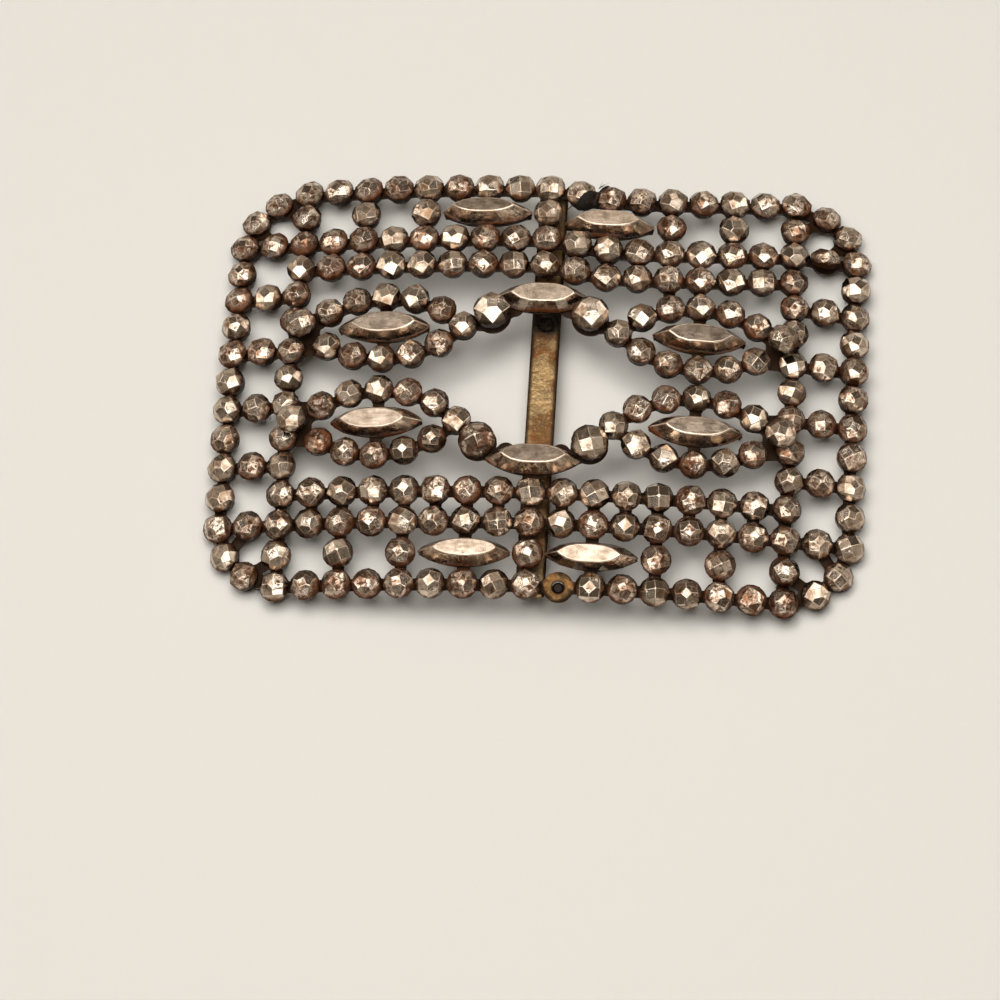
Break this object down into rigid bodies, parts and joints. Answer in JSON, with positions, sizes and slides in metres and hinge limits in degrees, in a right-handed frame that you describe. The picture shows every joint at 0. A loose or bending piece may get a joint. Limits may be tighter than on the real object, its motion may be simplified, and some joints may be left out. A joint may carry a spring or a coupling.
{
  "type": "cut steel belt buckle",
  "caption": "Rectangular domed belt buckle: pierced brass plate set with faceted steel studs and long pointed studs, with a flat centre bar.",
  "frame": {"origin": "middle of the buckle at the level of the surface that its four corners rest on", "axes": "+X along the buckle's length to the right, +Y up the face as worn, +Z out of the studded face"},
  "size_m": [0.0746, 0.0534, 0.0103],
  "materials": {
    "brass": "aged, dull, brown in the recesses",
    "cut_steel": "cut and polished facets, tarnished, with rust between the studs"
  },
  "bodies": {
    "root": {"backing_plate": "brass", "centre_bar": "brass", "rim_studs": "cut_steel", "top_outer_band": "cut_steel", "top_inner_band": "cut_steel", "bottom_outer_band": "cut_steel", "bottom_inner_band": "cut_steel", "top_spacers": "cut_steel", "bottom_spacers": "cut_steel", "left_inner_column": "cut_steel", "right_inner_column": "cut_steel", "leaf_ring_top_left": "cut_steel", "leaf_ring_top_right": "cut_steel", "leaf_ring_bottom_left": "cut_steel", "leaf_ring_bottom_right": "cut_steel", "large_stud_top_left": "cut_steel", "large_stud_top_right": "cut_steel", "large_stud_bottom_left": "cut_steel", "large_stud_bottom_right": "cut_steel", "leaf_navette_top_left": "cut_steel", "leaf_navette_top_right": "cut_steel", "leaf_navette_bottom_left": "cut_steel", "leaf_navette_bottom_right": "cut_steel", "rim_navette_top_left": "cut_steel", "rim_navette_top_right": "cut_steel", "rim_navette_bottom_left": "cut_steel", "rim_navette_bottom_right": "cut_steel", "centre_navette_top": "cut_steel", "centre_navette_bottom": "cut_steel"}
  },
  "joints": []
}
